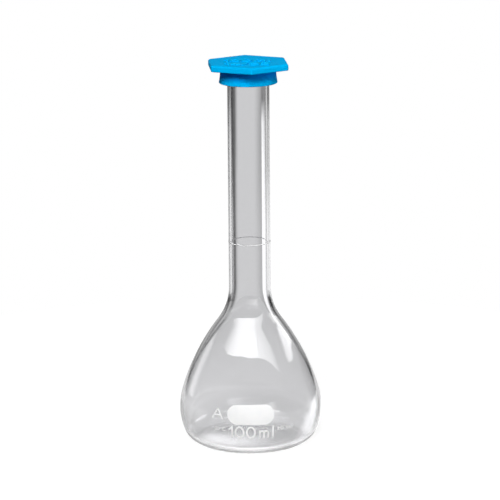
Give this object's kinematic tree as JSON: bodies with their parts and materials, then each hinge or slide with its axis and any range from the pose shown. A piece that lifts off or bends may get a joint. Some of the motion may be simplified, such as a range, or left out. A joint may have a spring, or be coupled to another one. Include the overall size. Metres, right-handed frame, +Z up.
{
  "type": "volumetric flask",
  "caption": "Clear glass volumetric flask with a flat-based pear-shaped bulb, a long straight neck with a graduation line, and a hexagonal plastic snap cap that lifts off.",
  "frame": {"origin": "middle of the base, on the surface that the flask stands on", "axes": "+Z up along the flask's own axis, -Y towards the marked front, +X to the right of someone who reads the marks"},
  "size_m": [0.06, 0.0601, 0.1628],
  "materials": {
    "clear_glass": "clear fire-polished borosilicate glass",
    "white_enamel": "white enamel fired onto the glass",
    "blue_plastic": "bright blue polyethylene with a satin moulded skin"
  },
  "bodies": {
    "flask": {"glass_flask": "clear_glass", "graduation_line": "white_enamel", "marking_spot": "white_enamel"},
    "cap": {"snap_cap": "blue_plastic"}
  },
  "joints": [
    {"name": "cap_lift", "type": "slide", "parent": "flask", "child": "cap", "axis": [0, 0, 1], "range_m": [0, 0.03]}
  ]
}
